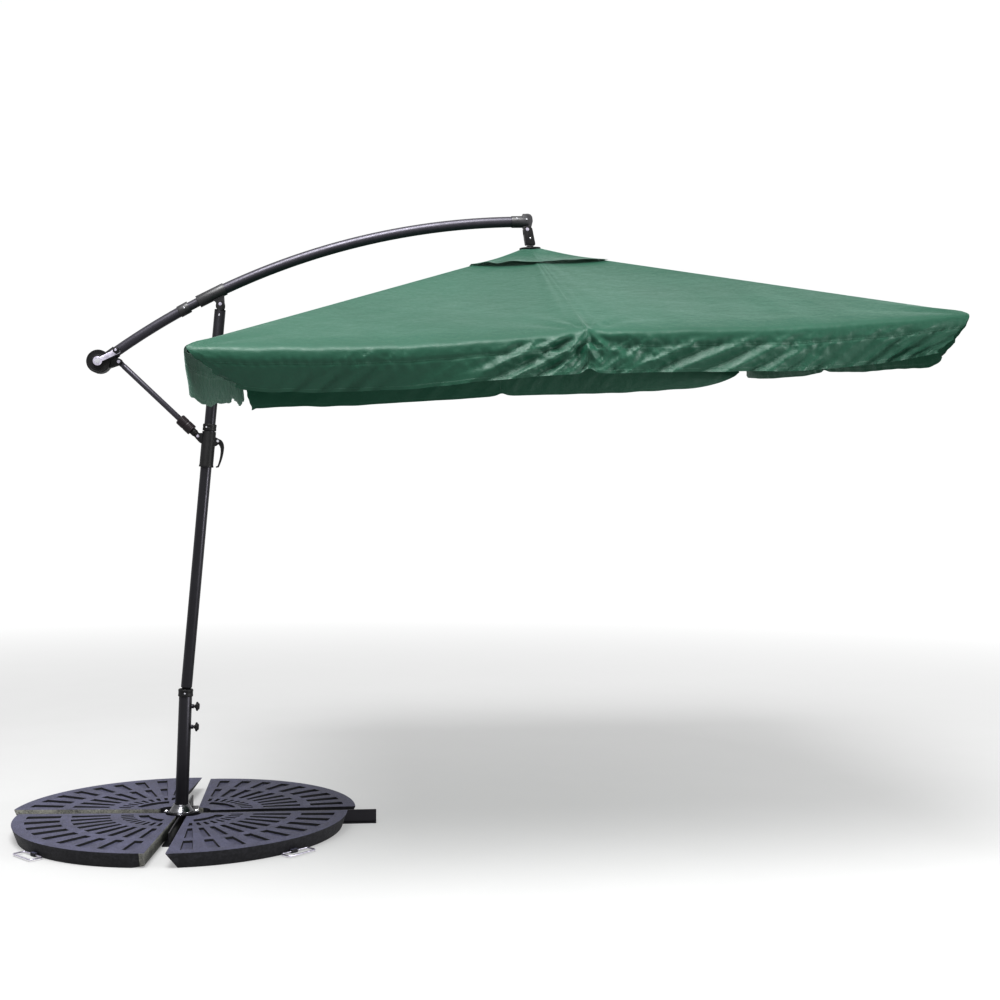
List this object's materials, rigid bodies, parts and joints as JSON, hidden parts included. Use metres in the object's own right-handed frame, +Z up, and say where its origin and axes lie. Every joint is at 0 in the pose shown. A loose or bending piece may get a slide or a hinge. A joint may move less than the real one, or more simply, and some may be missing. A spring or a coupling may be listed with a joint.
{
  "type": "cantilever patio umbrella",
  "caption": "Cantilever patio umbrella: square canopy hung from a curved arm on a leaning mast, with a cross foot and quarter-disc base weights.",
  "frame": {"origin": "on the ground under the foot of the mast, where the two foot bars cross", "axes": "+X from the mast towards the side under the canopy, +Y away from the crank side, +Z up"},
  "size_m": [3.4361, 2.7683, 2.413],
  "materials": {
    "painted_steel": "semi-gloss black powder coat",
    "black_plastic": "moulded black nylon, slightly glossy",
    "zinc": "zinc plated",
    "bright_steel": "polished",
    "resin": "grained cast resin, blue-black",
    "canopy_cloth": "green woven polyester"
  },
  "bodies": {
    "base": {"foot_bar_long": "painted_steel", "foot_bar_cross": "painted_steel", "weight_back_right": "resin", "weight_back_left": "resin", "weight_front_left": "resin", "weight_front_right": "resin", "mast_flange": "painted_steel", "mast_skirt": "bright_steel", "lower_mast": "painted_steel", "mast_collar": "black_plastic"},
    "knob_lower": {"clamp_knob_lower": "black_plastic"},
    "knob_upper": {"clamp_knob_upper": "black_plastic"},
    "handle_back_right": {"carry_handle_back_right": "zinc"},
    "handle_back_left": {"carry_handle_back_left": "zinc"},
    "handle_front_left": {"carry_handle_front_left": "zinc"},
    "handle_front_right": {"carry_handle_front_right": "zinc"},
    "mast": {"upper_mast": "painted_steel", "slider_stop": "black_plastic", "mast_clevis": "black_plastic", "arm_pivot_bolt": "zinc"},
    "arm": {"arm_tee": "black_plastic", "arm_tube": "painted_steel", "link_tube": "painted_steel", "tail_tube": "painted_steel", "tail_collar": "black_plastic", "winder_housing": "black_plastic", "winder_cover": "black_plastic", "strut_head_pin": "zinc", "elbow": "black_plastic"},
    "crank": {"winder_drum": "zinc", "crank_arm": "zinc"},
    "grip": {"crank_grip": "black_plastic"},
    "strut": {"strut_tube": "painted_steel", "strut_foot": "black_plastic", "strut_collar": "black_plastic"},
    "slider": {"slider": "black_plastic", "strut_foot_pin": "zinc"},
    "lever": {"squeeze_lever": "black_plastic"},
    "crown": {"hang_link": "black_plastic", "crown_cap": "black_plastic", "rib_hub": "black_plastic", "canopy": "canopy_cloth", "vent_cap": "canopy_cloth"},
    "rib_right": {"rib_right": "painted_steel"},
    "stretcher_right": {"stretcher_right": "painted_steel"},
    "rib_back_right": {"rib_back_right": "painted_steel"},
    "stretcher_back_right": {"stretcher_back_right": "painted_steel"},
    "rib_back": {"rib_back": "painted_steel"},
    "stretcher_back": {"stretcher_back": "painted_steel"},
    "rib_back_left": {"rib_back_left": "painted_steel"},
    "stretcher_back_left": {"stretcher_back_left": "painted_steel"},
    "rib_left": {"rib_left": "painted_steel"},
    "stretcher_left": {"stretcher_left": "painted_steel"},
    "rib_front_left": {"rib_front_left": "painted_steel"},
    "stretcher_front_left": {"stretcher_front_left": "painted_steel"},
    "rib_front": {"rib_front": "painted_steel"},
    "stretcher_front": {"stretcher_front": "painted_steel"},
    "rib_front_right": {"rib_front_right": "painted_steel"},
    "stretcher_front_right": {"stretcher_front_right": "painted_steel"},
    "runner": {"runner": "black_plastic"}
  },
  "joints": [
    {"name": "mast_swivel", "type": "hinge", "parent": "base", "child": "mast", "pos_m": [0.01577, 0.00166, 0.5], "axis": [0.0875, 0.0092, 0.9961], "continuous": true},
    {"name": "knob_lower_turn", "type": "hinge", "parent": "base", "child": "knob_lower", "pos_m": [0.04801, 0.00505, 0.38518], "axis": [0.9939, 0.1045, -0.0358], "continuous": true},
    {"name": "knob_upper_turn", "type": "hinge", "parent": "base", "child": "knob_upper", "pos_m": [0.05086, 0.00534, 0.46523], "axis": [0.9939, 0.1045, -0.0358], "continuous": true},
    {"name": "carry_handle_back_right_swing", "type": "hinge", "parent": "base", "child": "handle_back_right", "pos_m": [0.43226, 0.4975, 0.008], "axis": [0.788, -0.6157, 0], "range_deg": [0, 70]},
    {"name": "carry_handle_back_left_swing", "type": "hinge", "parent": "base", "child": "handle_back_left", "pos_m": [-0.48539, 0.46256, 0.008], "axis": [0.6947, 0.7193, 0], "range_deg": [0, 70]},
    {"name": "carry_handle_front_left_swing", "type": "hinge", "parent": "base", "child": "handle_front_left", "pos_m": [-0.42002, -0.46654, 0.008], "axis": [-0.7314, 0.682, 0], "range_deg": [0, 70]},
    {"name": "carry_handle_front_right_swing", "type": "hinge", "parent": "base", "child": "handle_front_right", "pos_m": [0.50029, -0.41518, 0.008], "axis": [-0.6374, -0.7705, 0], "range_deg": [0, 70]},
    {"name": "arm_tilt", "type": "hinge", "parent": "mast", "child": "arm", "pos_m": [0.15067, 0.01584, 2.03502], "axis": [0.1045, -0.9945, 0], "range_deg": [0, 30]},
    {"name": "strut_swing", "type": "hinge", "parent": "arm", "child": "strut", "pos_m": [-0.23471, -0.02467, 1.807], "axis": [0.1045, -0.9945, 0], "range_deg": [-61.5, 0]},
    {"name": "slider_ride", "type": "hinge", "parent": "strut", "child": "slider", "pos_m": [0.06447, 0.00678, 1.51995], "axis": [0.1045, -0.9945, 0], "range_deg": [0, 31.5]},
    {"name": "lever_squeeze", "type": "hinge", "parent": "slider", "child": "lever", "pos_m": [0.14067, 0.01478, 1.50083], "axis": [-0.1045, 0.9945, 0], "range_deg": [0, 4], "stiffness_Nm_per_rad": 2, "springref_deg": -5.73},
    {"name": "crank_turn", "type": "hinge", "parent": "arm", "child": "crank", "pos_m": [-0.3093, -0.03251, 1.806], "axis": [0.1045, -0.9945, 0], "range_deg": [0, 2135]},
    {"name": "grip_spin", "type": "hinge", "parent": "crank", "child": "grip", "pos_m": [-0.22843, -0.08434, 1.845], "axis": [0.1045, -0.9945, 0], "continuous": true},
    {"name": "canopy_hang", "type": "hinge", "parent": "arm", "child": "crown", "pos_m": [1.35026, 0.14192, 2.3494], "axis": [0.1045, -0.9945, 0], "range_deg": [-1, 12]},
    {"name": "canopy_fold", "type": "hinge", "parent": "crown", "child": "rib_right", "pos_m": [1.41682, 0.15219, 2.22798], "axis": [-0.1147, 0.9913, 0.0652], "range_deg": [0, 62], "deforming": ["canopy", "vent_cap"]},
    {"name": "knee_right", "type": "hinge", "parent": "rib_right", "child": "stretcher_right", "pos_m": [1.89505, 0.2162, 2.09608], "axis": [-0.1147, 0.9913, 0.0652], "range_deg": [-125, 0]},
    {"name": "fold_back_right", "type": "hinge", "parent": "crown", "child": "rib_back_right", "pos_m": [1.39749, 0.18694, 2.22955], "axis": [-0.7828, 0.6222, 0.008], "range_deg": [0, 66.8]},
    {"name": "knee_back_right", "type": "hinge", "parent": "rib_back_right", "child": "stretcher_back_right", "pos_m": [1.69815, 0.56609, 2.15765], "axis": [-0.7828, 0.6222, 0.008], "range_deg": [-124, 0]},
    {"name": "fold_back", "type": "hinge", "parent": "crown", "child": "rib_back", "pos_m": [1.35926, 0.19795, 2.22856], "axis": [-0.9923, -0.1113, -0.054], "range_deg": [0, 62]},
    {"name": "knee_back", "type": "hinge", "parent": "rib_back", "child": "stretcher_back", "pos_m": [1.31214, 0.67957, 2.10201], "axis": [-0.9923, -0.1113, -0.054], "range_deg": [-125, 0]},
    {"name": "fold_back_left", "type": "hinge", "parent": "crown", "child": "rib_back_left", "pos_m": [1.32452, 0.17876, 2.22559], "axis": [-0.6206, -0.7796, -0.0843], "range_deg": [0, 66.8]},
    {"name": "knee_back_left", "type": "hinge", "parent": "rib_back_left", "child": "stretcher_back_left", "pos_m": [0.95703, 0.48299, 2.11734], "axis": [-0.6206, -0.7796, -0.0843], "range_deg": [-124, 0]},
    {"name": "fold_left", "type": "hinge", "parent": "crown", "child": "rib_left", "pos_m": [1.31362, 0.14062, 2.22237], "axis": [0.1147, -0.9913, -0.0652], "range_deg": [0, 62]},
    {"name": "knee_left", "type": "hinge", "parent": "rib_left", "child": "stretcher_left", "pos_m": [0.85001, 0.09903, 2.03925], "axis": [0.1147, -0.9913, -0.0652], "range_deg": [-125, 0]},
    {"name": "fold_front_left", "type": "hinge", "parent": "crown", "child": "rib_front_left", "pos_m": [1.33295, 0.10587, 2.22079], "axis": [0.7828, -0.6222, -0.008], "range_deg": [0, 66.8]},
    {"name": "knee_front_left", "type": "hinge", "parent": "rib_front_left", "child": "stretcher_front_left", "pos_m": [1.04269, -0.25733, 2.06863], "axis": [0.7828, -0.6222, -0.008], "range_deg": [-124, 0]},
    {"name": "fold_front", "type": "hinge", "parent": "crown", "child": "rib_front", "pos_m": [1.37118, 0.09486, 2.22178], "axis": [0.9923, 0.1113, 0.054], "range_deg": [0, 62]},
    {"name": "knee_front", "type": "hinge", "parent": "rib_front", "child": "stretcher_front", "pos_m": [1.43292, -0.36434, 2.03331], "axis": [0.9923, 0.1113, 0.054], "range_deg": [-125, 0]},
    {"name": "fold_front_right", "type": "hinge", "parent": "crown", "child": "rib_front_right", "pos_m": [1.40592, 0.11405, 2.22476], "axis": [0.6206, 0.7796, 0.0843], "range_deg": [0, 66.8]},
    {"name": "knee_front_right", "type": "hinge", "parent": "rib_front_right", "child": "stretcher_front_right", "pos_m": [1.78381, -0.17423, 2.10893], "axis": [0.6206, 0.7796, 0.0843], "range_deg": [-124, 0]},
    {"name": "runner_level", "type": "hinge", "parent": "stretcher_right", "child": "runner", "pos_m": [1.43144, 0.17461, 1.91296], "axis": [-0.1147, 0.9913, 0.0652], "range_deg": [0, 63]}
  ],
  "couplings": [
    {"joint": "strut_swing", "follows": "arm_tilt", "ratio": -2.029},
    {"joint": "slider_ride", "follows": "arm_tilt", "ratio": 1.029},
    {"joint": "knee_right", "follows": "canopy_fold", "ratio": -2},
    {"joint": "fold_back_right", "follows": "canopy_fold", "ratio": 1.0749},
    {"joint": "knee_back_right", "follows": "canopy_fold", "ratio": -1.9778},
    {"joint": "fold_back", "follows": "canopy_fold", "ratio": 1},
    {"joint": "knee_back", "follows": "canopy_fold", "ratio": -2},
    {"joint": "fold_back_left", "follows": "canopy_fold", "ratio": 1.0749},
    {"joint": "knee_back_left", "follows": "canopy_fold", "ratio": -1.9778},
    {"joint": "fold_left", "follows": "canopy_fold", "ratio": 1},
    {"joint": "knee_left", "follows": "canopy_fold", "ratio": -2},
    {"joint": "fold_front_left", "follows": "canopy_fold", "ratio": 1.0749},
    {"joint": "knee_front_left", "follows": "canopy_fold", "ratio": -1.9778},
    {"joint": "fold_front", "follows": "canopy_fold", "ratio": 1},
    {"joint": "knee_front", "follows": "canopy_fold", "ratio": -2},
    {"joint": "fold_front_right", "follows": "canopy_fold", "ratio": 1.0749},
    {"joint": "knee_front_right", "follows": "canopy_fold", "ratio": -1.9778},
    {"joint": "runner_level", "follows": "canopy_fold", "ratio": 1},
    {"joint": "crank_turn", "follows": "canopy_fold", "ratio": 34.4}
  ]
}
